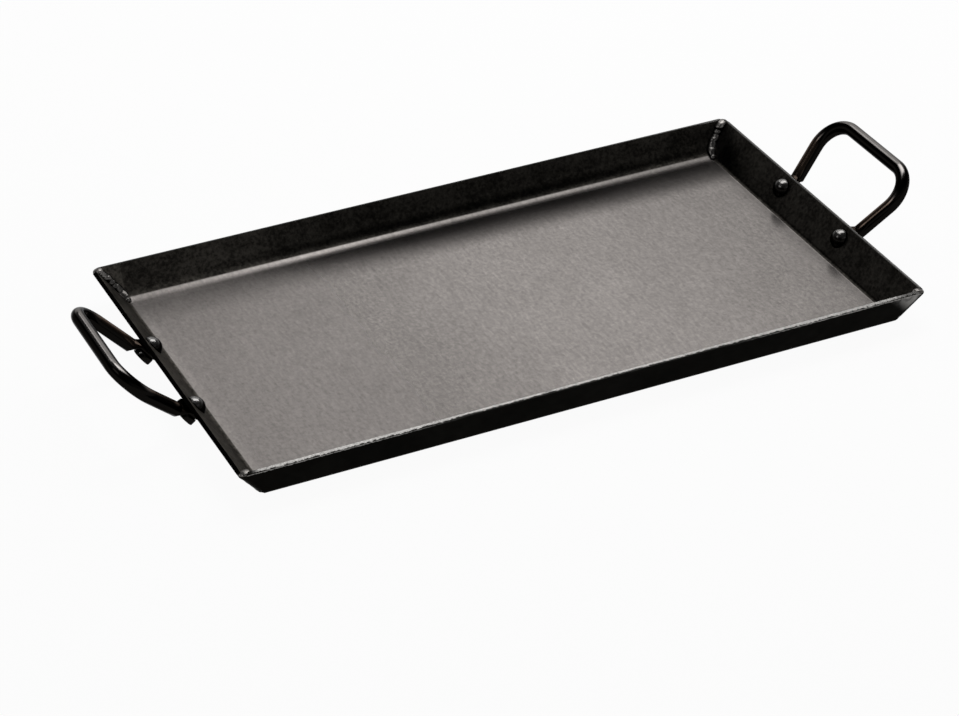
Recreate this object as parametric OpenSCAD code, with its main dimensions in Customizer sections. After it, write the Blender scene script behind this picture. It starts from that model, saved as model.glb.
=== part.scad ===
// Camp griddle plate: a tray folded from one steel sheet, its corners welded,
// with a loop handle of bent rod riveted to each end wall.
// +X runs along the length, +Y to the back, +Z up. The origin is the middle of the underside.

/* [Pan] */
// Length over the rim, along X
rim_length = 457; // [380:1:560]
// Width over the rim, along Y
rim_width = 254; // [200:1:340]
// Height of the rim above the underside
pan_height = 23; // [20:0.5:40]
// Thickness of the folded sheet
sheet = 2.7; // [2:0.1:3.5]
// Lean of the two long walls from upright, in degrees
long_lean = 18; // [10:1:35]
// Lean of the two end walls from upright, in degrees
end_lean = 37; // [25:1:45]
// Radius on the inside of the folds
fold_radius = 6; // [3:0.5:8]

/* [Corner welds] */
// Width of the seam between the ends of two walls
seam_gap = 0.8; // [0.4:0.1:1.6]
// Diameter of the bead that is laid along a seam
bead_diameter = 6.2; // [5.6:0.2:9]
// Distance from one ripple of a bead to the next
ripple_pitch = 2.2; // [1.6:0.1:3]
// Distance below the rim at which a bead stops
bead_stop = 2.5; // [1:0.5:5]
// Room between the ends of the folds and the edge of a corner's relief hole
relief_margin = 0.5; // [0.3:0.1:2]
// Lap of a bead's foot on the floor round the relief hole
foot_lap = 0.5; // [0.3:0.1:2]
// Rise of a bead's foot above the floor, at its edge
foot_edge = 0.3; // [0.2:0.1:1]
// Rise of the foot's domed top above its edge
foot_crown = 0.8; // [0.5:0.1:2]
// Distance that a bead stays above the underside
foot_recess = 0.2; // [0.1:0.1:1]

/* [Handles] */
// Diameter of the round rod
rod_diameter = 9; // [7:0.5:11]
// Distance along X from the rim to the middle of the grip
grip_reach = 38.5; // [36:0.5:60]
// Distance between the two arms where they meet the grip
grip_span = 101; // [90:1:130]
// Rise of the arms above level, in degrees
arm_rise = 45; // [35:0.5:50]
// Radius of the rod's bends, to the middle of the rod
bend_radius = 18.5; // [14:0.5:22]
// Gap between the end wall and the round rod at the foot of an arm
arm_gap = 2; // [1:0.1:3]
// Thickness of an arm's flattened end
tab_thickness = 3.8; // [3:0.1:5]
// Width of an arm's flattened end
tab_width = 13.5; // [12:0.5:18]
// Room between a rivet's flat head and the shoulder of the arm
tab_margin = 0.6; // [0.3:0.1:2]
// Length of the shoulder from the flattened end to the round rod
shoulder = 3.5; // [3:0.5:8]

/* [Rivets] */
// Distance between the two rivets of a handle
rivet_spacing = 73; // [60:1:85]
// Distance from the rim down the end wall to a rivet's middle
rivet_drop = 10.2; // [7:0.1:12]
// Diameter of the shank, and of the holes that it fills
shank_diameter = 6.4; // [5:0.1:8]
// Diameter of the domed head inside the pan
dome_diameter = 13.5; // [10:0.5:15]
// Height of the domed head
dome_height = 5; // [2:0.1:6]
// Diameter of the flat head outside the handle
head_diameter = 12.5; // [10:0.5:14]
// Height of the flat head
head_height = 4.2; // [2:0.1:6]
// Chamfer on the flat head's edge
head_chamfer = 0.6; // [0.2:0.1:1]

/* [Hidden] */
$fn = 96;

pan_black = [0.13, 0.125, 0.12];
weld_grey = [0.27, 0.26, 0.25];
handle_black = [0.09, 0.085, 0.08];
rivet_black = [0.17, 0.165, 0.16];

// Places that two pieces of one solid share are kept to a thousandth of a millimetre
function snap(length) = round(1000 * length) / 1000;

// A fold lifts off the underside by a hair, and starts a little way in on the floor
fold_lift = 0.02;
fold_lap = 0.5;
// Outer radius of the folds, and the height of their centres
fold_outer = fold_radius + sheet;
fold_height = fold_outer + fold_lift;

// Length of a wall's straight part, from its fold to the rim
function wall_run(lean) = (pan_height - fold_height + fold_radius * sin(lean)) / cos(lean);
// Distance from the outside of the rim in to the centre of the fold
function fold_inset(lean) = fold_outer * cos(lean) + wall_run(lean) * sin(lean);

end_fold = snap(rim_length / 2 - fold_inset(end_lean));
long_fold = snap(rim_width / 2 - fold_inset(long_lean));

// Corner at the right and back: outward normals of its two walls, and the way up its seam
end_normal = [cos(end_lean), 0, -sin(end_lean)];
long_normal = [0, cos(long_lean), -sin(long_lean)];
seam_up = [tan(end_lean), tan(long_lean), 1];
// Normals of the two walls' ends, which are cut square to the sheet, towards their own wall
end_cut = cross(end_normal, seam_up);
long_cut = cross(seam_up, long_normal);
// Where the walls' inner faces meet at the rim
seam_top = [
    rim_length / 2 - sheet * cos(end_lean),
    rim_width / 2 - sheet * cos(long_lean),
    pan_height
];

// How far past the corner of the floor a wall's end crosses the start of its fold, at a depth
// below the centre of the fold. The relief hole at the corner of the floor takes in all of these.
function fold_crossing(lean, other_lean, depth) =
    (fold_radius - sin(other_lean) * (depth * pow(cos(lean), 2) + fold_radius * sin(lean)))
    / cos(other_lean);
relief_radius = snap(seam_gap + relief_margin + max([
    for (depth = [fold_radius, fold_height], leans = [[end_lean, long_lean], [long_lean, end_lean]])
        abs(fold_crossing(leans[0], leans[1], depth))
]));

// Bead up the inner corner: its lowest and highest ripple, and how many steps lie between them
bead_low = seam_top - (pan_height - sheet) * seam_up;
bead_high = seam_top - (bead_stop + bead_diameter / 2) * seam_up;
ripple_steps = ceil(norm(bead_high - bead_low) / ripple_pitch);
// Foot of the bead over the relief hole, and the radius of its domed top
foot_radius = relief_radius + foot_lap;
foot_dome = (pow(foot_radius, 2) + pow(foot_crown, 2)) / (2 * foot_crown);

// Rivet line on the outer face of the right end wall
rivet_x = rim_length / 2 - rivet_drop * sin(end_lean);
rivet_z = pan_height - sheet * sin(end_lean) - rivet_drop * cos(end_lean);

// Flattened end: its length above the rivet, and where the round rod starts
tab_reach = head_diameter / 2 + tab_margin;
neck_up = tab_reach + shoulder;
neck_out = arm_gap + rod_diameter / 2;
neck_x = rivet_x + neck_up * sin(end_lean) + neck_out * cos(end_lean);

// Loop of the handle, in the plane that rises with its arms
loop_length = snap((rim_length / 2 + grip_reach - neck_x) / cos(arm_rise));
arm_splay = snap(atan((grip_span - rivet_spacing) / 2 / (neck_up + loop_length)));
neck_y = rivet_spacing / 2 + neck_up * tan(arm_splay);
bend_x = loop_length - bend_radius;
bend_y = snap(neck_y + bend_x * tan(arm_splay) - bend_radius / cos(arm_splay));
arm_length = snap((bend_x - bend_radius * sin(arm_splay)) / cos(arm_splay));

// Larger than the whole plate, for half spaces
beyond = 2 * (rim_length + rim_width);
// Thickness of the slices that a shoulder runs between, and how far it stands proud of the rod
slice = 0.2;
collar = 0.25;
// How far the rod swells where it is bent, and how far the straight rod runs into a bend
bend_swell = 0.1;
bend_lap = 1;

module half_space(normal, point, offset = 0) {
    translate(point)
        rotate([0, acos(normal[2] / norm(normal)), atan2(normal[1], normal[0])])
            translate([-beyond / 2, -beyond / 2, offset])
                cube(beyond);
}

// Section of a fold and its wall, x outward and y up, from the centre of the fold:
// a straight wall on half a ring, leaned outward, and cut upright on the floor
module wall_section(lean) {
    far = fold_outer + wall_run(lean);
    intersection() {
        rotate(-lean) {
            translate([fold_radius, 0])
                square([sheet, wall_run(lean)]);
            difference() {
                circle(r = fold_outer);
                circle(r = fold_radius);
                translate([-far, 0])
                    square(2 * far);
            }
        }
        translate([-fold_lap, -far])
            square(2 * far);
    }
}

// Right end wall and back wall, as long as the rim and not yet cut at the corners
module end_wall_blank() {
    translate([end_fold, rim_width / 2, fold_height])
        rotate([90, 0, 0])
            linear_extrude(rim_width)
                wall_section(end_lean);
}

module long_wall_blank() {
    translate([-rim_length / 2, long_fold, fold_height])
        rotate([90, 0, 90])
            linear_extrude(rim_length)
                wall_section(long_lean);
}

module end_wall() {
    intersection() {
        end_wall_blank();
        half_space(end_cut, seam_top, seam_gap / 2);
        mirror([0, 1, 0])
            half_space(end_cut, seam_top, seam_gap / 2);
    }
}

module long_wall() {
    intersection() {
        long_wall_blank();
        half_space(long_cut, seam_top, seam_gap / 2);
        mirror([1, 0, 0])
            half_space(long_cut, seam_top, seam_gap / 2);
    }
}

// Places children on the outer face of the right end wall, at the rivets' level:
// x up the wall, y along it and z into the pan
module on_end_wall() {
    translate([rivet_x, 0, rivet_z])
        rotate([0, end_lean - 90, 0])
            children();
}

module at_rivets() {
    for (side = [-1, 1])
        translate([0, side * rivet_spacing / 2, 0])
            children();
}

module griddle_pan() {
    color(pan_black)
        difference() {
            union() {
                translate([-end_fold, -long_fold, 0])
                    cube([2 * end_fold, 2 * long_fold, sheet]);
                for (side = [0, 1]) {
                    mirror([side, 0, 0])
                        end_wall();
                    mirror([0, side, 0])
                        long_wall();
                }
            }
            for (side = [0, 1])
                mirror([side, 0, 0])
                    on_end_wall()
                        at_rivets()
                            cylinder(h = 4 * sheet, d = shank_diameter, center = true);
            for (x = [-end_fold, end_fold], y = [-long_fold, long_fold])
                translate([x, y, -sheet])
                    cylinder(h = sheet + fold_outer, r = relief_radius);
        }
}

// Section of the room inside a fold's outer face, x outward and y up, from the centre of the fold
module fold_room() {
    circle(r = fold_outer - foot_recess);
    translate([-beyond, foot_recess - fold_height])
        square([beyond, fold_height]);
}

// Foot of a bead, which closes the relief hole under a low dome and follows the two folds outside
module bead_foot() {
    intersection() {
        translate([end_fold, long_fold, sheet + foot_edge])
            intersection() {
                cylinder(h = 4 * sheet, r = foot_radius, center = true);
                translate([0, 0, foot_crown - foot_dome])
                    sphere(r = foot_dome);
            }
        translate([end_fold, rim_width / 2, fold_height])
            rotate([90, 0, 0])
                linear_extrude(rim_width)
                    fold_room();
        translate([-rim_length / 2, long_fold, fold_height])
            rotate([90, 0, 90])
                linear_extrude(rim_length)
                    fold_room();
    }
}

// Weld of the right back corner: rippled bead and foot above the underside, cut to the pan's faces
module corner_weld() {
    color(weld_grey)
        difference() {
            intersection() {
                union() {
                    for (step = [0 : ripple_steps])
                        translate(bead_low + step / ripple_steps * (bead_high - bead_low))
                            sphere(d = bead_diameter);
                    bead_foot();
                }
                translate([0, 0, foot_recess])
                    cube(beyond);
            }
            griddle_pan();
        }
}

// Flattened and drilled end of an arm, with the shoulder up to the round rod
module arm_foot() {
    difference() {
        union() {
            translate([0, 0, -tab_thickness])
                linear_extrude(tab_thickness) {
                    circle(d = tab_width);
                    translate([0, -tab_width / 2])
                        square([tab_reach, tab_width]);
                }
            hull() {
                translate([tab_reach - slice, -tab_width / 2, -tab_thickness])
                    cube([slice, tab_width, tab_thickness]);
                translate([neck_up / cos(arm_splay), 0, -neck_out])
                    rotate([0, 180 - end_lean - arm_rise, 0])
                        cylinder(h = slice, d = rod_diameter + 2 * collar, $fn = 32);
            }
        }
        cylinder(h = 4 * tab_thickness, d = shank_diameter, center = true);
    }
}

// Bend and arm on the back side of the loop: the stretch of a ring from the grip to the arm
module half_loop() {
    across = 2 * bend_radius + 2 * rod_diameter;
    translate([bend_x, bend_y, 0]) {
        intersection() {
            rotate_extrude()
                translate([bend_radius, 0])
                    circle(d = rod_diameter + 2 * bend_swell);
            translate([-across / 2, 0, -across / 2])
                cube(across);
            rotate(90 + arm_splay)
                translate([-across / 2, -across, -across / 2])
                    cube(across);
        }
        rotate(90 + arm_splay)
            translate([bend_radius, -bend_lap, 0])
                rotate([-90, 0, 0])
                    cylinder(h = arm_length + bend_lap, d = rod_diameter);
    }
}

module loop() {
    translate([loop_length, -bend_y - bend_lap, 0])
        rotate([-90, 0, 0])
            cylinder(h = 2 * (bend_y + bend_lap), d = rod_diameter);
    half_loop();
    mirror([0, 1, 0])
        half_loop();
}

module handle() {
    color(handle_black) {
        on_end_wall() {
            for (side = [0, 1])
                mirror([0, side, 0])
                    translate([0, rivet_spacing / 2, 0])
                        rotate(arm_splay)
                            arm_foot();
            translate([neck_up, 0, -neck_out])
                rotate([0, 90 - end_lean - arm_rise, 0])
                    loop();
        }
    }
}

// Rivet about z: domed head above the wall, shank through wall and tab, flat head below
module rivet() {
    dome_radius = (pow(dome_diameter / 2, 2) + pow(dome_height, 2)) / (2 * dome_height);
    head_radius = head_diameter / 2;
    color(rivet_black)
        rotate_extrude() {
            intersection() {
                translate([0, sheet + dome_height - dome_radius])
                    circle(r = dome_radius);
                translate([0, sheet])
                    square([dome_diameter, dome_height]);
            }
            translate([0, -tab_thickness])
                square([shank_diameter / 2, tab_thickness + sheet]);
            translate([0, -tab_thickness - head_height])
                polygon([
                    [0, 0],
                    [head_radius - head_chamfer, 0],
                    [head_radius, head_chamfer],
                    [head_radius, head_height],
                    [0, head_height]
                ]);
        }
}

// The rivet at one end, left or right, and at the front or back of its handle
module rivet_at(left, front) {
    mirror([left ? 1 : 0, 0, 0])
        on_end_wall()
            translate([0, (front ? -1 : 1) * rivet_spacing / 2, 0])
                rivet();
}

module weld_at(left, front) {
    mirror([left ? 1 : 0, 0, 0])
        mirror([0, front ? 1 : 0, 0])
            corner_weld();
}

griddle_pan();
weld_at(left = true, front = true);  // weld_front_left
weld_at(left = false, front = true);  // weld_front_right
weld_at(left = true, front = false);  // weld_back_left
weld_at(left = false, front = false);  // weld_back_right
mirror([1, 0, 0]) handle();  // handle_left
handle();  // handle_right
rivet_at(left = true, front = true);  // rivet_left_front
rivet_at(left = true, front = false);  // rivet_left_back
rivet_at(left = false, front = true);  // rivet_right_front
rivet_at(left = false, front = false);  // rivet_right_back
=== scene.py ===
"""Camp griddle plate: a folded pan, four corner welds, two rod handles and four rivets, on a white stage.

+X runs along the length, +Y to the back and +Z up, in metres. The origin is the middle of the underside.
"""
import math

import bmesh
import bpy
from mathutils import Matrix, Vector, noise


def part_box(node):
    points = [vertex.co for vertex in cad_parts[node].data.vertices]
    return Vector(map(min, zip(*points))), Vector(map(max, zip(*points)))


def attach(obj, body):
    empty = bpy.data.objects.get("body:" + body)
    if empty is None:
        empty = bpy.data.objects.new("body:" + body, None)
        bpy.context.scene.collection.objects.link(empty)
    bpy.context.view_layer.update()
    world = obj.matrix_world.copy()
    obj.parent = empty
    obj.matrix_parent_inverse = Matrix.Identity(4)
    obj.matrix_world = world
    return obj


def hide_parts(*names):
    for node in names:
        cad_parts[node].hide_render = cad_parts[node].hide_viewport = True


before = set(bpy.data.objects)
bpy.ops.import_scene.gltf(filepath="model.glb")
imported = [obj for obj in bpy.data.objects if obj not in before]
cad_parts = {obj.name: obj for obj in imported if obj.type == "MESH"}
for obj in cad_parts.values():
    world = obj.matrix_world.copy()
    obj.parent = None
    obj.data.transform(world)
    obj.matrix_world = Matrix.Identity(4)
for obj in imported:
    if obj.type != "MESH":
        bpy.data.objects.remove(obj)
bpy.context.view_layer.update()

bl_info = {
    "name": "Camp Griddle Plate",
    "version": (1, 0, 0),
    "blender": (4, 5, 0),
    "location": "3D View > Sidebar > Griddle",
    "description": "Builds a seasoned steel griddle plate with welded corners and riveted rod handles",
    "category": "Add Mesh",
}

MM = 0.001
TINY = 0.01 * MM
X_AXIS = Vector((1, 0, 0))
Y_AXIS = Vector((0, 1, 0))
Z_AXIS = Vector((0, 0, 1))
PAN_LOW, PAN_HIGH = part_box("griddle_pan")
PAN_SIZE = PAN_HIGH - PAN_LOW
HANDLE_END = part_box("handle_right")[1].x
RIGHT_GRIP = Vector((HANDLE_END, 0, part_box("handle_right")[1].z))
LEFT_GRIP = Vector((-RIGHT_GRIP.x, 0, RIGHT_GRIP.z))

# Sides of the corners, for loops: left or right, and front or back
ENDS = {"left": -1, "right": 1}
FLANKS = {"front": -1, "back": 1}

# Mesh attribute: how far a surface faces up, from 1 for a level top to -1 for an underside, by which the
# finishes paint light and highlights on upward faces
TOP_SIDE = "top_side"

# How finely the pieces are divided
FLOOR_CELL = 3 * MM
FOLD_STEPS = 14
WALL_STEPS = 7
CORNER_STEPS = 4
BEAD_SIDES = 20
BEAD_STEP = 0.3 * MM
ROD_SIDES = 32
GRIP_STEPS = 4
BEND_STEPS = 18
ARM_STEPS = 3
SHOULDER_STEPS = 8
TAB_STEPS = 8
TAB_TURN = math.radians(87)
RIVET_SIDES = 48
DOME_STEPS = 10
HEAD_ROUND_STEPS = 3
CUT_EDGE_STEPS = 2
CUT_EDGE_ANGLE = math.radians(40)

# Bands of the pan over which its wear and painted glints come in, along Y and away from the middle along
# X
FRONT_RIM = (-118 * MM, -122 * MM)
BACK_RIM = (118 * MM, 122 * MM)
NEAR_ENDS = (80 * MM, 150 * MM)

# Weld beads: start above the floor, girth as shares of the radius, sideways sway and lean of the ripples
BEAD_START = 0.4 * MM
BEAD_GIRTH = 1.12
BEAD_SINK = 0.85
LUMP_SHARE = 0.16
LUMP_PITCH = 4 * MM
RIPPLE_SHARE = 0.1
RIPPLE_TILT = math.radians(24)
BEAD_SWAY = 0.6 * MM
SWAY_PITCH = 5 * MM

# Steps between the corners in the noise that makes their beads differ
FLANK_SEED = 7.3
END_SEED = 2.1

# How square the section of an arm's flattened end is, where 1 keeps the rod's round
TAB_WIDTH_POWER = 0.8
TAB_FACE_POWER = 0.55

WHITE = (1, 1, 1, 1)


def length(name, description, default):
    return bpy.props.FloatProperty(
        name=name, description=description, default=default, min=0, precision=4,
        subtype="DISTANCE", unit="LENGTH",
    )


def angle(name, description, degrees):
    return bpy.props.FloatProperty(
        name=name, description=description, default=math.radians(degrees), min=0, max=math.pi / 2,
        subtype="ANGLE", unit="ROTATION",
    )


def colour(name, description, default):
    return bpy.props.FloatVectorProperty(
        name=name, description=description, default=default, size=3, min=0, max=1, subtype="COLOR",
    )


def share(name, description, default, highest=1):
    return bpy.props.FloatProperty(
        name=name, description=description, default=default, min=0, max=highest, subtype="FACTOR",
    )


class PanSettings(bpy.types.PropertyGroup):
    rim_length: length("Rim length", "Length over the rim, along X", PAN_SIZE.x)
    rim_width: length("Rim width", "Width over the rim, along Y", PAN_SIZE.y)
    height: length("Height", "Height of the rim above the underside", PAN_SIZE.z)
    sheet: length("Sheet", "Thickness of the folded sheet", 2.7 * MM)
    long_lean: angle("Long lean", "Lean of the two long walls from upright", 18)
    end_lean: angle("End lean", "Lean of the two end walls from upright", 37)
    back_fold: length("Back fold", "Length of the back wall's fold, over its inner face", 18 * MM)
    front_fold: length("Front fold", "Length of the front wall's fold, over its inner face", 4.5 * MM)
    end_fold: length("End fold", "Length of an end wall's fold, over its inner face", 4 * MM)
    fold_ease: bpy.props.FloatProperty(
        name="Fold ease", description="How gently a fold starts, where 1 is a plain arc",
        default=1.2, min=1, max=3,
    )
    seam_gap: length("Seam gap", "Width of the seam between the ends of two walls", 0.8 * MM)
    corner_round: length("Corner round", "Radius on the top corners of each wall", 3 * MM)
    edge_round: length("Edge round", "Rounding of the sheet's cut edges", 0.35 * MM)
    # Floor colour: a painted sheen; the floor is the same seasoned steel as the walls, drawn grey as if
    # reflecting the back light
    floor_colour: colour("Floor", "Satin cooking floor", (0.27, 0.25, 0.238))
    wall_colour: colour("Walls", "Seasoned walls", (0.0085, 0.0078, 0.0068))
    # Rim colour: worn bare steel of the cut edge, also used for painted glints along the rim and a
    # painted reflection by the near right corner
    wear_and_highlight_colour: colour("Rim", "Cut edge of the sheet, where it is rubbed", (0.26, 0.254, 0.245))
    soot_colour: colour("Soot", "Outer face, blackened by the fire", (0.0045, 0.0042, 0.0037))


class WeldSettings(bpy.types.PropertyGroup):
    bead_diameter: length("Bead diameter", "Diameter of the bead along a seam", 6.2 * MM)
    ripple_pitch: length("Ripple pitch", "Distance from one ripple to the next", 2.2 * MM)
    bead_stop: length("Bead stop", "Distance below the rim at which a bead stops", 0.4 * MM)
    foot_diameter: length("Foot diameter", "Diameter of a bead's round foot", 5 * MM)
    # Weld colour: the painted lit side of the weld; faces turned sideways or down take the pan's soot
    # colour
    colour: colour("Weld", "Seasoned weld metal, where it faces up", (0.1, 0.095, 0.09))


class HandleSettings(bpy.types.PropertyGroup):
    rod_diameter: length("Rod diameter", "Diameter of the round rod", 9 * MM)
    grip_span: length("Grip span", "Distance between the arms where they meet the grip", 101 * MM)
    arm_rise: angle("Arm rise", "Rise of the arms above level", 45)
    bend_radius: length("Bend radius", "Radius of the rod's bends, to its middle", 18.5 * MM)
    arm_gap: length("Arm gap", "Gap between the end wall and the foot of an arm", 2 * MM)
    tab_thickness: length("Tab thickness", "Thickness of an arm's flattened end", 3.8 * MM)
    tab_width: length("Tab width", "Width of an arm's flattened end", 13.5 * MM)
    tab_margin: length("Tab margin", "Room between a rivet's flat head and the arm's shoulder", 0.6 * MM)
    shoulder: length("Shoulder", "Length from the flattened end to the round rod", 3.5 * MM)
    # Top and brown colours: painted highlights on the rod, grey along the top of the grip and brown along
    # the arms
    highlight_colour: colour("Top", "Rod's upper side, rubbed by hands", (0.18, 0.17, 0.163))
    brown_highlight_colour: colour("Brown", "Oil baked on along the arms", (0.11, 0.08, 0.062))
    soot_colour: colour("Soot", "Rod's sides and underside, blackened", (0.0045, 0.004, 0.0036))


class RivetSettings(bpy.types.PropertyGroup):
    spacing: length("Spacing", "Distance between the two rivets of a handle", 73 * MM)
    drop: length("Drop", "Distance from the rim down the end wall to a rivet's middle", 10.2 * MM)
    shank_diameter: length("Shank diameter", "Diameter of the shank", 6.4 * MM)
    dome_diameter: length("Dome diameter", "Diameter of the domed head inside the pan", 13.5 * MM)
    dome_height: length("Dome height", "Height of the domed head", 5 * MM)
    head_diameter: length("Head diameter", "Diameter of the flat head outside the handle", 12.5 * MM)
    head_height: length("Head height", "Height of the flat head", 4.2 * MM)
    head_round: length("Head round", "Rounding of the heads' edges", 0.6 * MM)
    # Top colour: a painted highlight on the rivet's upper side
    highlight_colour: colour("Top", "Rivet's upper side, rubbed", (0.17, 0.166, 0.161))
    soot_colour: colour("Soot", "Rivet's sides and underside, blackened", (0.006, 0.0055, 0.005))


class StageSettings(bpy.types.PropertyGroup):
    floor_size: length("Floor size", "Side of the square floor", 8)
    floor_colour: colour("Floor", "White floor under the plate", (0.9, 0.9, 0.9))
    glow: share("Glow", "How much of the floor's white doesn't take the shadow", 0.95)
    fill: share("Fill", "Strength of the soft light from all round", 0.06)


class Value:
    """A shader socket that takes part in Python arithmetic."""

    def __init__(self, finish, socket):
        self.finish = finish
        self.socket = socket

    def other(self, name):
        """Another output of the same node."""
        return Value(self.finish, self.socket.node.outputs[name])

    def __add__(self, other):
        return self.finish.math("ADD", self, other)

    def __sub__(self, other):
        return self.finish.math("SUBTRACT", self, other)

    def __rsub__(self, other):
        return self.finish.math("SUBTRACT", other, self)

    def __mul__(self, other):
        return self.finish.math("MULTIPLY", self, other)

    def __truediv__(self, other):
        return self.finish.math("DIVIDE", self, other)

    def __neg__(self):
        return self.finish.math("SUBTRACT", 0.0, self)

    def __abs__(self):
        return self.finish.math("ABSOLUTE", self)

    __radd__ = __add__
    __rmul__ = __mul__


class Finish:
    """A node tree under construction."""

    # Sockets of a Mix node that mixes colours
    MIX_FACTOR, MIX_A, MIX_B, MIX_RESULT = 0, 6, 7, 2

    # Tint that holds down a metal's reflection at a glancing angle
    EDGE_TINT = (0.5, 0.5, 0.5, 1)

    def __init__(self, owner):
        owner.use_nodes = True
        self.owner = owner
        self.tree = owner.node_tree
        self.tree.nodes.clear()

    def node(self, kind, settings=None, inputs=None, output=0):
        """Add a node with its settings, then its sockets' values or links, and give one output."""
        node = self.tree.nodes.new(kind)
        for name, setting in (settings or {}).items():
            setattr(node, name, setting)
        for key, given in (inputs or {}).items():
            if isinstance(given, Value):
                self.tree.links.new(given.socket, node.inputs[key])
            else:
                node.inputs[key].default_value = given
        return Value(self, node.outputs[output]) if node.outputs else None

    def math(self, operation, first, second=0.0):
        return self.node("ShaderNodeMath", {"operation": operation}, {0: first, 1: second})

    def largest(self, first, second):
        return self.math("MAXIMUM", first, second)

    def ramp(self, value, low, high, low_result=0.0, high_result=1.0):
        """A smooth step from one result to another as the value goes from low to high."""
        return self.node(
            "ShaderNodeMapRange", {"interpolation_type": "SMOOTHSTEP"},
            {"Value": value, 1: low, 2: high, 3: low_result, 4: high_result},
        )

    def blend(self, factor, first, second):
        """Mix of two colours."""
        return self.node(
            "ShaderNodeMix", {"data_type": "RGBA"},
            {self.MIX_FACTOR: factor, self.MIX_A: first, self.MIX_B: second}, self.MIX_RESULT,
        )

    def tint(self, tone, by):
        """A colour made lighter or darker by a value."""
        return self.node(
            "ShaderNodeVectorMath", {"operation": "SCALE"}, {0: tone, "Scale": by},
        )

    def place(self):
        return self.node("ShaderNodeTexCoord", output="Object")

    def axis(self, place, name):
        """One coordinate of a place."""
        return self.node("ShaderNodeSeparateXYZ", None, {0: place}, name)

    def on_top(self, low, high):
        """0 on the sides and below, and 1 where the surface faces up."""
        facing = self.node("ShaderNodeAttribute", {"attribute_name": TOP_SIDE}, output="Fac")
        return self.ramp(facing, low, high)

    def turned(self, place, turn=(0, 0, 0), scale=(1, 1, 1)):
        """Object coordinates turned and stretched."""
        return self.node("ShaderNodeMapping", None, {"Vector": place, "Rotation": turn, "Scale": scale})

    def grain(self, place, size, detail=2.0, roughness=0.5, distortion=0.0):
        """Noise from 0 to 1 whose patches have about this size."""
        return self.node(
            "ShaderNodeTexNoise", None,
            {"Vector": place, "Scale": 1 / size, "Detail": detail, "Roughness": roughness,
             "Distortion": distortion},
        )

    def bump(self, height, distance):
        return self.node(
            "ShaderNodeBump", None, {"Height": height, "Distance": distance, "Strength": 1.0},
        )

    def metal(self, base, roughness, normal):
        """End the tree with a metal, and give the material."""
        shader = self.node("ShaderNodeBsdfPrincipled", None, {
            "Base Color": base, "Metallic": 1.0, "Roughness": roughness, "Normal": normal,
            "Specular Tint": self.EDGE_TINT,
        })
        self.node("ShaderNodeOutputMaterial", None, {"Surface": shader})
        return self.owner


def rgba(tone):
    return (*tone, 1.0)


class WallProfile:
    """Inner face of a wall in section: a fold that starts gently from the floor, then a straight."""

    def __init__(self, pan, lean, fold, rim):
        turn = math.pi / 2 - lean
        points = [Vector((0, 0))]
        for step in range(FOLD_STEPS):
            slope = turn * ((step + 0.5) / FOLD_STEPS) ** pan.fold_ease
            points.append(points[-1] + fold / FOLD_STEPS * Vector((math.cos(slope), math.sin(slope))))
        rise = pan.height - pan.sheet - points[-1].y
        straight = rise / WALL_STEPS * Vector((math.tan(lean), 1))
        for _ in range(WALL_STEPS):
            points.append(points[-1] + straight)
        self.points = points
        self.fold = fold
        self.start = rim / 2 - pan.sheet * math.cos(lean) - points[-1].x

    def steps(self):
        """The way from each point to the next, outward and up."""
        return [high - low for low, high in zip(self.points, self.points[1:])]

    def reach(self, rise):
        """Distance from the middle of the pan to the wall's inner face, at a rise above the floor."""
        for low, high in zip(self.points, self.points[1:]):
            if rise <= high.y:
                return self.start + low.lerp(high, (rise - low.y) / (high.y - low.y)).x
        return self.start + self.points[-1].x


def end_profile(pan):
    return WallProfile(pan, pan.end_lean, pan.end_fold, pan.rim_length)


def long_profile(pan, flank):
    fold = {"front": pan.front_fold, "back": pan.back_fold}[flank]
    return WallProfile(pan, pan.long_lean, fold, pan.rim_width)


def made_of(kind, geometry):
    return [item for item in geometry if isinstance(item, kind)]


def finish_piece(name, bm, materials, slot, *nodes):
    """Turn a mesh into a piece that rides on the body and stands for its CAD nodes."""
    bm.normal_update()
    top_side = bm.verts.layers.float.new(TOP_SIDE)
    for vert in bm.verts:
        vert[top_side] = vert.normal.z
    for face in bm.faces:
        face.smooth = True
    mesh = bpy.data.meshes.new(name)
    bm.to_mesh(mesh)
    bm.free()
    for material in materials:
        mesh.materials.append(material)
    piece = bpy.data.objects.new(name, mesh)
    bpy.context.scene.collection.objects.link(piece)
    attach(piece, "root")
    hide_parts(*nodes)
    return piece


def raise_wall(bm, pan, outward, along, profile, low_neighbour, high_neighbour):
    """Fold a wall up from the floor's edge, and flare it to the seams with the walls at its two ends."""
    floor_verts = set(bm.verts)
    edges = [
        edge for edge in bm.edges
        if all(
            abs(vert.co.dot(outward) - profile.start) < TINY and vert.co.z < pan.sheet + TINY
            for vert in edge.verts
        )
    ]
    if not edges:
        raise RuntimeError("The floor has no edge to fold a wall from")
    for step in profile.steps():
        raised = bmesh.ops.extrude_edge_only(bm, edges=edges)["geom"]
        edges = made_of(bmesh.types.BMEdge, raised)
        bmesh.ops.translate(
            bm, vec=step.x * outward + step.y * Z_AXIS, verts=made_of(bmesh.types.BMVert, raised),
        )
    for vert in set(bm.verts) - floor_verts:
        rise = vert.co.z - pan.sheet
        opening = max(min(rise / pan.sheet - 1, 1), 0) * pan.seam_gap / 2
        neighbour = high_neighbour if vert.co.dot(along) > 0 else low_neighbour
        flare = (neighbour.reach(rise) - opening) / neighbour.start - 1
        vert.co += vert.co.dot(along) * flare * along


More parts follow.
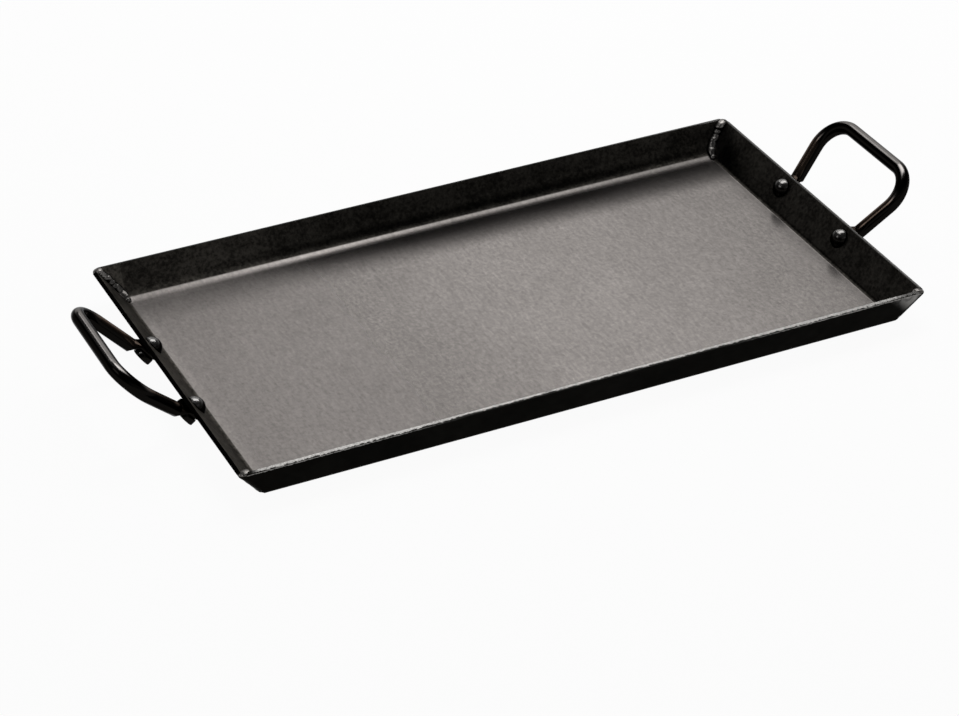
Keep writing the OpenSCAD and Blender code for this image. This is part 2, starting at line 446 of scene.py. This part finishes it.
def pan_sheet(pan):
    """Inner face of the folded sheet: its right half, mirrored."""
    bm = bmesh.new()
    end, front, back = end_profile(pan), long_profile(pan, "front"), long_profile(pan, "back")
    width = front.start + back.start
    middle = Vector((end.start / 2, (back.start - front.start) / 2, pan.sheet))
    bmesh.ops.create_grid(
        bm, x_segments=round(end.start / FLOOR_CELL), y_segments=round(width / FLOOR_CELL), size=0.5,
        matrix=Matrix.Translation(middle) @ Matrix.Diagonal((end.start, width, 1, 1)),
    )
    raise_wall(bm, pan, X_AXIS, Y_AXIS, end, front, back)
    raise_wall(bm, pan, Y_AXIS, X_AXIS, back, end, end)
    raise_wall(bm, pan, -Y_AXIS, X_AXIS, front, end, end)
    bmesh.ops.mirror(bm, geom=bm.verts[:] + bm.edges[:] + bm.faces[:], axis="X", merge_dist=TINY)
    bmesh.ops.remove_doubles(bm, verts=bm.verts, dist=TINY)
    corners = [vert for vert in bm.verts if len(vert.link_faces) == 1 and vert.co.z > pan.height - TINY]
    bmesh.ops.bevel(
        bm, geom=corners, offset=pan.corner_round, offset_type="OFFSET", segments=CORNER_STEPS,
        profile=0.5, affect="VERTICES", material=-1,
    )
    bmesh.ops.recalc_face_normals(bm, faces=bm.faces)
    middle_face = min(bm.faces, key=lambda face: face.calc_center_median().length)
    if middle_face.normal.z < 0:
        bmesh.ops.reverse_faces(bm, faces=bm.faces)
    return bm


def pan_inside_finish(pan):
    """Satin floor whose grey is a painted sheen, with painted light fall-off, a painted dark reflection
    band and painted highlights by the folds; it turns near-black at the ends and up the long folds, where
    the walls carry a painted sheen.
    """
    finish = Finish(bpy.data.materials.new("pan_inside"))
    place = finish.place()
    x, y, z = (finish.axis(place, name) for name in "XYZ")
    end, front, back = end_profile(pan), long_profile(pan, "front"), long_profile(pan, "back")
    past_end = (abs(x) - end.start) / end.fold
    past_long = finish.largest((y - back.start) / back.fold, (-y - front.start) / front.fold)
    on_end = finish.ramp(past_end, 0.1, 0.35)
    on_long = finish.ramp(past_long, 0.33, 0.4)
    on_wall = finish.largest(on_end, on_long)
    on_fold = finish.ramp(past_long, -0.1, 0.15)
    left = finish.ramp(x, -40 * MM, -200 * MM)
    right = finish.ramp(x, 90 * MM, 205 * MM)
    # Painted light fall-off: the floor is painted darker toward the two ends and toward the front
    falloff_left = finish.ramp(x, 20 * MM, -130 * MM)
    falloff_right = finish.ramp(x, 60 * MM, 210 * MM)
    clouds = finish.grain(place, 45 * MM, 3)
    speckle = finish.grain(place, 2.6 * MM, 3, 0.6)
    strokes = finish.turned(place, (0, 0, math.radians(38)), (1, 0.3, 1))
    fibres = finish.grain(strokes, 1.8 * MM, 2, 0.6, 0.5)
    tone = 0.26 + 0.2 * clouds + 0.62 * speckle + 0.64 * fibres
    toward_front = finish.ramp(y, 50 * MM, -110 * MM)
    falloff_front = toward_front * (0.06 + 0.04 * (falloff_left + falloff_right))
    # Painted light fall-off of the floor, as a factor on its tone
    painted_falloff = 1.075 - 0.31 * falloff_left - 0.19 * falloff_right - falloff_front
    # Painted dark band on the floor beside the long folds, standing in for the reflection of the dark
    # walls, weaker toward the left
    painted_dark_band = finish.ramp(past_long, -1.9, -0.75) * (0.65 - 0.45 * falloff_left)
    # Painted highlight on the floor just before the long folds, toward the left
    painted_fold_highlight = finish.ramp(past_long, -0.35, -0.05) * 0.45 * left
    # Painted highlight: a lighter strip on the floor along the left end fold
    painted_end_highlight = finish.ramp(past_end, -1.5, -0.5) * 0.14 * left
    # The floor's grey base is a painted sheen, scaled by tone, the painted light fall-off and the painted
    # bands by the folds and the left end
    floor = finish.tint(pan.floor_colour, tone * painted_falloff * (1 - painted_dark_band + painted_fold_highlight + painted_end_highlight))
    mottle = finish.grain(place, 2.4 * MM, 4, 0.7)
    blotch = finish.grain(place, 14 * MM, 2)
    patches = finish.ramp(0.7 * mottle + 0.3 * blotch, 0.36, 0.66, 0.5, 2.2)
    # Walls: seasoned black with random mottling, and a painted sheen that lightens them toward the left
    # end, less toward the right
    wall = finish.tint(pan.wall_colour, patches * (1 + 2.6 * left + 0.8 * right + 2.6 * left * on_end))
    # Inner edge of the rim near the right end: worn bare steel with a painted glint
    lip_wear_and_glint = finish.ramp(pan.height - z, 0.9 * MM, 0.3 * MM)
    lip_wear_and_glint = lip_wear_and_glint * finish.ramp(x, 205 * MM, 215 * MM, 0, 0.8)
    base = finish.blend(lip_wear_and_glint, finish.blend(on_wall, floor, wall), rgba(pan.wear_and_highlight_colour))
    extra = 0.22 * left + 0.05 * right
    roughness = 0.19 + 0.06 * clouds + extra + 0.09 * on_fold + 0.05 * on_wall
    relief = finish.bump(speckle + 0.6 * mottle, 0.012 * MM)
    return finish.metal(base, roughness, relief)


def pan_outside_finish(pan):
    """Sooty black with faint mottling, nicked along the front wall's top, with a painted reflection on
    the front wall by its right end.
    """
    finish = Finish(bpy.data.materials.new("pan_outside"))
    place = finish.place()
    x, y, z = (finish.axis(place, name) for name in "XYZ")
    mottle = finish.grain(place, 6 * MM, 4, 0.6)
    blotch = finish.grain(place, 35 * MM, 2)
    nicks = finish.grain(place, 1.6 * MM, 3, 0.7)
    front = finish.ramp(y, *FRONT_RIM)
    near_end = finish.ramp(abs(x), *NEAR_ENDS)
    nicked = front * near_end * finish.ramp(pan.height - z - 2.2 * MM * nicks, 0.4 * MM, 0.1 * MM)
    # Painted reflection: a lighter patch on the front wall's outer face by the right end
    painted_corner_reflection = finish.ramp(x + z, 222 * MM, 238 * MM) * finish.ramp(y, -112 * MM, -116 * MM, 0, 0.85)
    off_edge = finish.ramp(x - math.tan(pan.end_lean) * z, 208.8 * MM, 207 * MM)
    # The nicks are wear; the patch by the right end is a painted reflection
    lightened = finish.largest(nicked, painted_corner_reflection * off_edge * finish.ramp(mottle, 0.3, 0.6))
    soot = finish.tint(pan.soot_colour, 0.4 + 1.8 * mottle * blotch)
    base = finish.blend(lightened, soot, rgba(pan.wear_and_highlight_colour))
    relief = finish.bump(mottle, 0.03 * MM)
    return finish.metal(base, 0.4 + 0.15 * blotch, relief)


def pan_rim_finish(pan):
    """Sheared edge, bright in patches along the front and less at the right end, as worn bare steel with
    a painted glint on its inner edge, and else black.
    """
    finish = Finish(bpy.data.materials.new("pan_rim"))
    place = finish.place()
    x, y, z = (finish.axis(place, name) for name in "XYZ")
    front = finish.ramp(y, *FRONT_RIM) * finish.ramp(x, 204 * MM, 214 * MM, 1, 0.35)
    front = front * finish.ramp(x, -221 * MM, -214 * MM)
    right = finish.ramp(x, 219 * MM, 223 * MM) * finish.ramp(y, -118 * MM, -112 * MM, 0, 0.6)
    far_right = finish.ramp(x, 110 * MM, 215 * MM) * finish.ramp(y, *BACK_RIM, 0, 0.3)
    patchy = finish.ramp(finish.grain(place, 7 * MM, 4, 0.75), 0.3, 0.42, 0.3, 1)
    scratches = finish.grain(place, 1.5 * MM, 3, 0.7)
    jagged = finish.grain(place, 2.2 * MM, 3, 0.7)
    depth = finish.ramp(abs(x), *NEAR_ENDS, 0.95 * MM, 1.25 * MM)
    inner = finish.ramp(pan.height - z - depth * jagged, -0.14 * MM, 0.06 * MM, 1, 0.03)
    # Bright patches on the inner edge: worn bare steel and a painted glint
    wear_and_glint = patchy * finish.largest(front, finish.largest(right, far_right)) * inner
    bright = finish.tint(pan.wear_and_highlight_colour, 0.1 + 1.8 * scratches)
    base = finish.blend(wear_and_glint, rgba(pan.soot_colour), bright)
    relief = finish.bump(scratches, 0.06 * MM)
    return finish.metal(base, 0.3 + 0.12 * scratches, relief)


class GRIDDLE_OT_pan(bpy.types.Operator):
    """Fold the pan from one sheet and season it"""
    bl_idname = "griddle.pan"
    bl_label = "Griddle Pan"

    def execute(self, context):
        pan = context.scene.griddle_pan
        materials = [pan_inside_finish(pan), pan_outside_finish(pan), pan_rim_finish(pan)]
        piece = finish_piece(
            "griddle_pan_sheet", pan_sheet(pan), materials, "seasoned_steel", "griddle_pan",
        )
        wall = piece.modifiers.new("Sheet", "SOLIDIFY")
        wall.thickness = pan.sheet
        wall.offset = -1
        wall.use_even_offset = True
        wall.use_quality_normals = True
        wall.material_offset = 1
        wall.material_offset_rim = 2
        edges = piece.modifiers.new("Cut edges", "BEVEL")
        edges.width = pan.edge_round
        edges.segments = CUT_EDGE_STEPS
        edges.limit_method = "ANGLE"
        edges.angle_limit = CUT_EDGE_ANGLE
        edges.harden_normals = True
        return {"FINISHED"}


def seam_point(pan, flank, rise):
    """Point where the inner faces of the right wall and a long wall meet, at a rise above the floor."""
    return Vector((end_profile(pan).reach(rise), long_profile(pan, flank).reach(rise), pan.sheet + rise))


def grow(bm, edges, matrix):
    """Extrude a ring of edges and carry the new ring by a matrix."""
    grown = bmesh.ops.extrude_edge_only(bm, edges=edges)["geom"]
    bmesh.ops.transform(bm, matrix=matrix, verts=made_of(bmesh.types.BMVert, grown))
    return made_of(bmesh.types.BMEdge, grown)


def weld_bead(pan, weld, flank, seed):
    """Lumpy, rippled bead up a seam, drawn as if at the right back, with a round foot and top."""
    bm = bmesh.new()
    radius = weld.bead_diameter / 2
    high_rise = pan.height - pan.sheet - weld.bead_stop
    low = seam_point(pan, flank, BEAD_START)
    run = seam_point(pan, flank, high_rise) - low
    way = run.normalized()
    inward = Vector((-1, -1, 0)).cross(way).cross(way).normalized() * -1
    axes = Matrix((inward, way.cross(inward), way)).transposed().to_4x4()
    tilt = Matrix.Rotation(RIPPLE_TILT, 4, "Y")
    steps = round(run.length / BEAD_STEP)
    ring_places = []
    for step in range(1, steps):
        along = step / steps * run.length
        on_seam = seam_point(pan, flank, BEAD_START + step / steps * (high_rise - BEAD_START))
        to_end = min(along, run.length - along)
        dome = math.sqrt(1 - (1 - min(to_end / radius, 1)) ** 2)
        lump = noise.noise(Vector((along / LUMP_PITCH, seed, 0)))
        ripple = noise.noise(Vector((along / weld.ripple_pitch, 0, seed)))
        sway = noise.noise(Vector((along / SWAY_PITCH, seed, seed)))
        swell = dome * radius * (BEAD_GIRTH + LUMP_SHARE * lump + RIPPLE_SHARE * ripple)
        shift = Matrix.Translation((swell - BEAD_SINK * dome * radius, BEAD_SWAY * sway, 0))
        ring_places.append(
            Matrix.Translation(on_seam) @ axes @ shift @ tilt @ Matrix.Diagonal((swell, swell, swell, 1))
        )
    ring = bmesh.ops.create_circle(
        bm, cap_ends=True, segments=BEAD_SIDES, radius=1, matrix=ring_places[0],
    )
    edges = list({edge for vert in ring["verts"] for edge in vert.link_edges})
    for last, place in zip(ring_places, ring_places[1:]):
        edges = grow(bm, edges, place @ last.inverted())
    bmesh.ops.holes_fill(bm, edges=edges)
    bmesh.ops.create_uvsphere(
        bm, u_segments=BEAD_SIDES, v_segments=BEAD_SIDES // 2, radius=weld.foot_diameter / 2,
        matrix=Matrix.Translation(low),
    )
    return bm


def weld_finish(pan, weld):
    """Weld metal, seasoned over, with painted light where it faces up and a painted highlight at the top
    of the bead.
    """
    finish = Finish(bpy.data.materials.new("weld_bead"))
    place = finish.place()
    patches = finish.grain(place, 2.5 * MM, 3, 0.6)
    # Painted highlight at the top of the bead, and painted light on its upward faces
    extra = finish.ramp(finish.axis(place, "Z"), pan.height - 7 * MM, pan.height - 4 * MM, 0, 1.2)
    painted_lit_side = finish.on_top(0.1, 0.6)
    metal = finish.tint(weld.colour, (0.2 + 1.5 * patches) * (1 + extra))
    base = finish.blend(painted_lit_side, rgba(pan.soot_colour), metal)
    relief = finish.bump(finish.grain(place, 0.8 * MM, 2), 0.05 * MM)
    return finish.metal(base, 0.22 + 0.2 * patches, relief)


class GRIDDLE_OT_welds(bpy.types.Operator):
    """Lay a rippled weld bead up each corner"""
    bl_idname = "griddle.welds"
    bl_label = "Corner Welds"

    def execute(self, context):
        pan, weld = context.scene.griddle_pan, context.scene.griddle_welds
        material = weld_finish(pan, weld)
        for row, (flank, y_sign) in enumerate(FLANKS.items()):
            for end, x_sign in ENDS.items():
                bm = weld_bead(pan, weld, flank, FLANK_SEED * row + END_SEED * x_sign)
                bmesh.ops.scale(bm, vec=(x_sign, y_sign, 1), verts=bm.verts)
                bmesh.ops.recalc_face_normals(bm, faces=bm.faces)
                finish_piece(
                    f"weld_bead_{flank}_{end}", bm, [material], "weld_steel", f"weld_{flank}_{end}",
                )
        return {"FINISHED"}


def wall_place(pan, rivet):
    """Frame on the right end wall's outer face, by the rivets: x up the wall, z into the pan."""
    x = pan.rim_length / 2 - rivet.drop * math.sin(pan.end_lean)
    z = pan.height - pan.sheet * math.sin(pan.end_lean) - rivet.drop * math.cos(pan.end_lean)
    return Matrix.Translation((x, 0, z)) @ Matrix.Rotation(pan.end_lean - math.pi / 2, 4, "Y")


def ends_of(edges):
    return list({vert for edge in edges for vert in edge.verts})


def handle_loop(bm, pan, handle, rivet):
    """Half the right handle's grip, its back bend and arm. Gives the last ring and the foot's place."""
    rod = handle.rod_diameter / 2
    neck_up = rivet.head_diameter / 2 + handle.tab_margin + handle.shoulder
    wall = wall_place(pan, rivet)
    neck = wall @ Matrix.Translation((neck_up, 0, -handle.arm_gap - rod))
    loop_length = (HANDLE_END - rod - neck.translation.x) / math.cos(handle.arm_rise)
    splay = math.atan((handle.grip_span - rivet.spacing) / 2 / (neck_up + loop_length))
    neck_y = rivet.spacing / 2 + neck_up * math.tan(splay)
    bend_x = loop_length - handle.bend_radius
    bend_y = neck_y + bend_x * math.tan(splay) - handle.bend_radius / math.cos(splay)
    arm = (bend_x - handle.bend_radius * math.sin(splay)) / math.cos(splay)
    arm_step = Vector((-math.cos(splay), -math.sin(splay), 0)) * arm / ARM_STEPS

    ring = bmesh.ops.create_circle(
        bm, segments=ROD_SIDES, radius=rod,
        matrix=Matrix.Translation((loop_length, 0, 0)) @ Matrix.Rotation(math.pi / 2, 4, "X"),
    )
    edges = list({edge for vert in ring["verts"] for edge in vert.link_edges})
    for _ in range(GRIP_STEPS):
        edges = grow(bm, edges, Matrix.Translation((0, bend_y / GRIP_STEPS, 0)))
    bent = bmesh.ops.spin(
        bm, geom=ends_of(edges) + edges, cent=(bend_x, bend_y, 0), axis=(0, 0, 1),
        angle=math.pi / 2 + splay, steps=BEND_STEPS,
    )
    edges = made_of(bmesh.types.BMEdge, bent["geom_last"])
    for _ in range(ARM_STEPS):
        edges = grow(bm, edges, Matrix.Translation(arm_step))
    tip = Matrix.Rotation(math.pi / 2 - pan.end_lean - handle.arm_rise, 4, "Y")
    bmesh.ops.transform(bm, matrix=neck @ tip, verts=bm.verts)
    foot = wall @ Matrix.Translation((0, rivet.spacing / 2, 0)) @ Matrix.Rotation(splay, 4, "Z")
    return edges, foot


def foot_stations(handle, rivet):
    """Rings of an arm's foot: how far each is flattened, its place along the arm and half its width."""
    half = handle.tab_width / 2
    tab_reach = rivet.head_diameter / 2 + handle.tab_margin
    for step in range(1, SHOULDER_STEPS + 1):
        done = step / SHOULDER_STEPS
        yield done * done * (3 - 2 * done), tab_reach, half
    yield 1, 0, half
    for step in range(1, TAB_STEPS + 1):
        turn = step / TAB_STEPS * TAB_TURN
        yield 1, -half * math.sin(turn), half * math.cos(turn)


def flatten_foot(bm, edges, foot, handle, rivet):
    """Carry an arm's last ring on as a shoulder and a flattened end that is rounded off."""
    neck = bm.verts.layers.float_vector.new("neck")
    ring = ends_of(edges)
    for vert in ring:
        vert[neck] = foot.inverted() @ vert.co
    middle = sum((vert[neck] for vert in ring), Vector()) / len(ring)
    thick = handle.tab_thickness / 2
    for flattened, x, half_width in foot_stations(handle, rivet):
        grown = bmesh.ops.extrude_edge_only(bm, edges=edges)["geom"]
        edges = made_of(bmesh.types.BMEdge, grown)
        for vert in made_of(bmesh.types.BMVert, grown):
            across = max(min((vert[neck] - middle).y / (handle.rod_diameter / 2), 1), -1)
            over = math.copysign(math.sqrt(1 - across ** 2), (vert[neck] - middle).z)
            flat = Vector((
                x,
                half_width * math.copysign(abs(across) ** TAB_WIDTH_POWER, across),
                thick * math.copysign(abs(over) ** TAB_FACE_POWER, over) - thick,
            ))
            vert.co = foot @ vert[neck].lerp(flat, flattened)
    bmesh.ops.holes_fill(bm, edges=edges)
    bm.verts.layers.float_vector.remove(neck)


def handle_mesh(pan, handle, rivet):
    """The right handle: its back half, mirrored to the front."""
    bm = bmesh.new()
    edges, foot = handle_loop(bm, pan, handle, rivet)
    flatten_foot(bm, edges, foot, handle, rivet)
    bmesh.ops.mirror(bm, geom=bm.verts[:] + bm.edges[:] + bm.faces[:], axis="Y", merge_dist=TINY)
    bmesh.ops.remove_doubles(bm, verts=bm.verts, dist=TINY)
    return bm


def handle_finish(handle):
    """Sooty black rod, with a painted grey highlight along the top of the grip and a painted brown
    highlight along the arms.
    """
    finish = Finish(bpy.data.materials.new("handle_rod"))
    place = finish.place()
    patches = finish.grain(place, 12 * MM, 3, 0.6)
    out = abs(finish.axis(place, "X"))
    on_arm = finish.ramp(out, HANDLE_END - 14 * MM, HANDLE_END - 24 * MM)
    off_foot = finish.ramp(out, HANDLE_END - 41 * MM, HANDLE_END - 34 * MM, 0.2, 1)
    # Painted highlights: grey along the top of the grip and brown up the arms, faded near the feet, on a
    # sooty black rod
    highlight_tone = finish.blend(on_arm, rgba(handle.highlight_colour), rgba(handle.brown_highlight_colour))
    lightened = off_foot * finish.largest(finish.on_top(0.84, 0.97), on_arm * finish.on_top(0.5, 0.72))
    base = finish.blend(lightened, rgba(handle.soot_colour), finish.tint(highlight_tone, 0.7 + 0.6 * patches))
    relief = finish.bump(finish.grain(place, 5 * MM, 3, 0.6), 0.003 * MM)
    return finish.metal(base, 0.15 + 0.06 * patches, relief)


class GRIDDLE_OT_handles(bpy.types.Operator):
    """Bend the two loop handles and flatten their ends"""
    bl_idname = "griddle.handles"
    bl_label = "Loop Handles"

    def execute(self, context):
        scene = context.scene
        material = handle_finish(scene.griddle_handles)
        for end, sign in ENDS.items():
            bm = handle_mesh(scene.griddle_pan, scene.griddle_handles, scene.griddle_rivets)
            bmesh.ops.scale(bm, vec=(sign, 1, 1), verts=bm.verts)
            bmesh.ops.recalc_face_normals(bm, faces=bm.faces)
            finish_piece(f"loop_handle_{end}", bm, [material], "handle_steel", f"handle_{end}")
        return {"FINISHED"}


def rivet_mesh(pan, handle, rivet):
    """Rivet about z: domed head above the wall, shank through wall and tab, flat head below."""
    bm = bmesh.new()
    dome = rivet.dome_diameter / 2
    dome_radius = (dome ** 2 + rivet.dome_height ** 2) / (2 * rivet.dome_height)
    dome_turn = math.asin(dome / dome_radius)
    dome_middle = pan.sheet + rivet.dome_height - dome_radius
    head = rivet.head_diameter / 2
    shank = rivet.shank_diameter / 2
    outline = [
        (dome_radius * math.sin(step / DOME_STEPS * dome_turn),
         dome_middle + dome_radius * math.cos(step / DOME_STEPS * dome_turn))
        for step in range(DOME_STEPS + 1)
    ]
    outline += [
        (shank, pan.sheet),
        (shank, -handle.tab_thickness),
        (head, -handle.tab_thickness),
        (head, -handle.tab_thickness - rivet.head_height),
        (0, -handle.tab_thickness - rivet.head_height),
    ]
    verts = [bm.verts.new((x, 0, z)) for x, z in outline]
    edges = [bm.edges.new(pair) for pair in zip(verts, verts[1:])]
    bmesh.ops.spin(
        bm, geom=verts + edges, cent=(0, 0, 0), axis=(0, 0, 1), angle=2 * math.pi,
        steps=RIVET_SIDES, use_merge=True,
    )
    bmesh.ops.remove_doubles(bm, verts=bm.verts, dist=TINY)
    rims = [
        edge for edge in bm.edges
        if all(abs(vert.co.to_2d().length - head) < TINY for vert in edge.verts)
        and abs(edge.verts[0].co.z - edge.verts[1].co.z) < TINY
    ]
    bmesh.ops.bevel(
        bm, geom=rims, offset=rivet.head_round, offset_type="OFFSET", segments=HEAD_ROUND_STEPS,
        profile=0.5, affect="EDGES", material=-1,
    )
    return bm


def rivet_finish(rivet):
    """Peened steel, seasoned over, with a painted highlight where it faces up."""
    finish = Finish(bpy.data.materials.new("rivet_head"))
    place = finish.place()
    patches = finish.grain(place, 3 * MM, 3, 0.6)
    # Painted highlight: the rivet is drawn lighter where it faces up and black on its sides and underside
    lightened = finish.tint(rivet.highlight_colour, 0.45 + 1.1 * patches)
    base = finish.blend(finish.on_top(0.5, 0.9), rgba(rivet.soot_colour), lightened)
    relief = finish.bump(finish.grain(place, 1.6 * MM, 2), 0.08 * MM)
    return finish.metal(base, 0.15 + 0.14 * patches, relief)


class GRIDDLE_OT_rivets(bpy.types.Operator):
    """Set the four rivets through the end walls and the handles"""
    bl_idname = "griddle.rivets"
    bl_label = "Rivets"

    def execute(self, context):
        scene = context.scene
        pan, rivet = scene.griddle_pan, scene.griddle_rivets
        material = rivet_finish(rivet)
        for end, x_sign in ENDS.items():
            for flank, y_sign in FLANKS.items():
                bm = rivet_mesh(pan, scene.griddle_handles, rivet)
                seat = wall_place(pan, rivet) @ Matrix.Translation((0, y_sign * rivet.spacing / 2, 0))
                bmesh.ops.transform(bm, matrix=seat, verts=bm.verts)
                bmesh.ops.scale(bm, vec=(x_sign, 1, 1), verts=bm.verts)
                bmesh.ops.recalc_face_normals(bm, faces=bm.faces)
                finish_piece(
                    f"rivet_{end}_{flank}_set", bm, [material], "rivet_steel", f"rivet_{end}_{flank}",
                )
        return {"FINISHED"}


def add_lamp(name, place, target, size, radiance):
    """Soft rectangular lamp that faces a target, as bright all over as the radiance says."""
    data = bpy.data.lights.new(name, "AREA")
    data.shape = "RECTANGLE"
    data.size, data.size_y = size
    data.energy = math.pi * radiance * data.size * data.size_y
    lamp = bpy.data.objects.new(name, data)
    lamp.location = place
    lamp.rotation_euler = (Vector(target) - Vector(place)).to_track_quat("-Z", "Y").to_euler()
    bpy.context.scene.collection.objects.link(lamp)


def seen_directly(finish):
    """1 for rays from the camera, from reflections and through glass, and 0 for the rest."""
    path = finish.node("ShaderNodeLightPath", output="Is Camera Ray")
    glossy = path.other("Is Glossy Ray")
    through = path.other("Is Transmission Ray")
    return finish.largest(path, finish.largest(glossy, through))


class GRIDDLE_OT_stage(bpy.types.Operator):
    """Set up the white floor, the soft lamps and the camera"""
    bl_idname = "griddle.stage"
    bl_label = "Stage"

    CAMERA_PLACE = Vector((-0.70043, -1.44251, 0.99604))
    CAMERA_TARGET = Vector((-0.05165, -0.07054, 0.020))
    CAMERA_ROLL = math.radians(-0.42)
    CAMERA_LENS = 112.94
    CAMERA_SENSOR = 36

    # How far the floor lies below the plate, so that the two faces never share a plane
    FLOOR_DROP = 0.2 * MM

    # Rise of a look, from 0 for level to 1 for straight up, over which the white backdrop fades
    BACKDROP_FADE = (0.15, 0.4)

    # Place, target, width and height, and radiance of each lamp
    LAMPS = {
        "overhead_softbox": ((0.5, 0.55, 1.2), (0.5, 0.55, 0), (1.1, 0.7), 4.3),
        "back_panel": ((0.80, 1.52, 1.06), (0, 0, 0), (1.35, 1.0), 1.0),
        "left_grip_strip": ((0.20, 2.43, 1.70), LEFT_GRIP, (0.25, 0.9), 2.2),
        "right_grip_strip": ((0.30, 2.19, 2.09), RIGHT_GRIP, (1.1, 0.4), 1.6),
        "left_softbox": ((-1.25, 0.05, 1.33), RIGHT_GRIP, (0.7, 0.5), 3.2),
        "front_panel": ((0.5, -2.2, 1.3), (0, 0, 0), (3.0, 1.4), 0.4),
    }

    def execute(self, context):
        scene = context.scene
        stage = scene.griddle_stage
        scene.view_settings.view_transform = "Standard"
        self.add_floor(scene, stage)
        self.add_world(scene, stage)
        self.add_camera(scene)
        for name, lamp in self.LAMPS.items():
            add_lamp(name, *lamp)
        return {"FINISHED"}

    def add_floor(self, scene, stage):
        bm = bmesh.new()
        bmesh.ops.create_grid(bm, x_segments=1, y_segments=1, size=stage.floor_size / 2)
        bmesh.ops.translate(bm, vec=(0, 0, -self.FLOOR_DROP), verts=bm.verts)
        mesh = bpy.data.meshes.new("stage_floor")
        bm.to_mesh(mesh)
        bm.free()
        finish = Finish(bpy.data.materials.new("stage_white"))
        matte = finish.node("ShaderNodeBsdfDiffuse", None, {"Color": rgba(stage.floor_colour)})
        glow = finish.node("ShaderNodeEmission", None, {"Color": WHITE, "Strength": 1.0})
        mixed = finish.node(
            "ShaderNodeMixShader", None, {0: stage.glow * seen_directly(finish), 1: matte, 2: glow},
        )
        finish.node("ShaderNodeOutputMaterial", None, {"Surface": mixed})
        mesh.materials.append(finish.owner)
        floor = bpy.data.objects.new("stage_floor", mesh)
        scene.collection.objects.link(floor)

    def add_world(self, scene, stage):
        scene.world = bpy.data.worlds.new("white_room")
        finish = Finish(scene.world)
        height = finish.axis(finish.node("ShaderNodeTexCoord", output="Generated"), "Z")
        backdrop = finish.ramp(height, *self.BACKDROP_FADE, 1, 0)
        strength = stage.fill + (1 - stage.fill) * backdrop * seen_directly(finish)
        sky = finish.node("ShaderNodeBackground", None, {"Color": WHITE, "Strength": strength})
        finish.node("ShaderNodeOutputWorld", None, {"Surface": sky})

    def add_camera(self, scene):
        data = bpy.data.cameras.new("photo_camera")
        data.lens = self.CAMERA_LENS
        data.sensor_width = self.CAMERA_SENSOR
        camera = bpy.data.objects.new("photo_camera", data)
        look = (self.CAMERA_TARGET - self.CAMERA_PLACE).to_track_quat("-Z", "Y")
        roll = Matrix.Rotation(self.CAMERA_ROLL, 4, "Z")
        camera.matrix_world = Matrix.Translation(self.CAMERA_PLACE) @ look.to_matrix().to_4x4() @ roll
        scene.collection.objects.link(camera)
        scene.camera = camera


class GRIDDLE_PT_pieces(bpy.types.Panel):
    """Sizes, colours and operators of the griddle plate"""
    bl_label = "Camp Griddle Plate"
    bl_space_type = "VIEW_3D"
    bl_region_type = "UI"
    bl_category = "Griddle"

    def draw(self, context):
        for name, (kind, operator) in GROUPS.items():
            box = self.layout.box()
            for setting in kind.__annotations__:
                box.prop(getattr(context.scene, name), setting)
            box.operator(operator.bl_idname)


# Each group of settings with the operator that uses it, in the order in which they run
GROUPS = {
    "griddle_stage": (StageSettings, GRIDDLE_OT_stage),
    "griddle_pan": (PanSettings, GRIDDLE_OT_pan),
    "griddle_welds": (WeldSettings, GRIDDLE_OT_welds),
    "griddle_handles": (HandleSettings, GRIDDLE_OT_handles),
    "griddle_rivets": (RivetSettings, GRIDDLE_OT_rivets),
}


def register():
    for name, (kind, operator) in GROUPS.items():
        bpy.utils.register_class(kind)
        bpy.utils.register_class(operator)
        setattr(bpy.types.Scene, name, bpy.props.PointerProperty(type=kind))
    bpy.utils.register_class(GRIDDLE_PT_pieces)


def unregister():
    bpy.utils.unregister_class(GRIDDLE_PT_pieces)
    for name, (kind, operator) in GROUPS.items():
        delattr(bpy.types.Scene, name)
        bpy.utils.unregister_class(operator)
        bpy.utils.unregister_class(kind)


def main():
    register()
    bpy.ops.griddle.stage()
    bpy.ops.griddle.pan()
    bpy.ops.griddle.welds()
    bpy.ops.griddle.handles()
    bpy.ops.griddle.rivets()


if __name__ == "__main__":
    main()
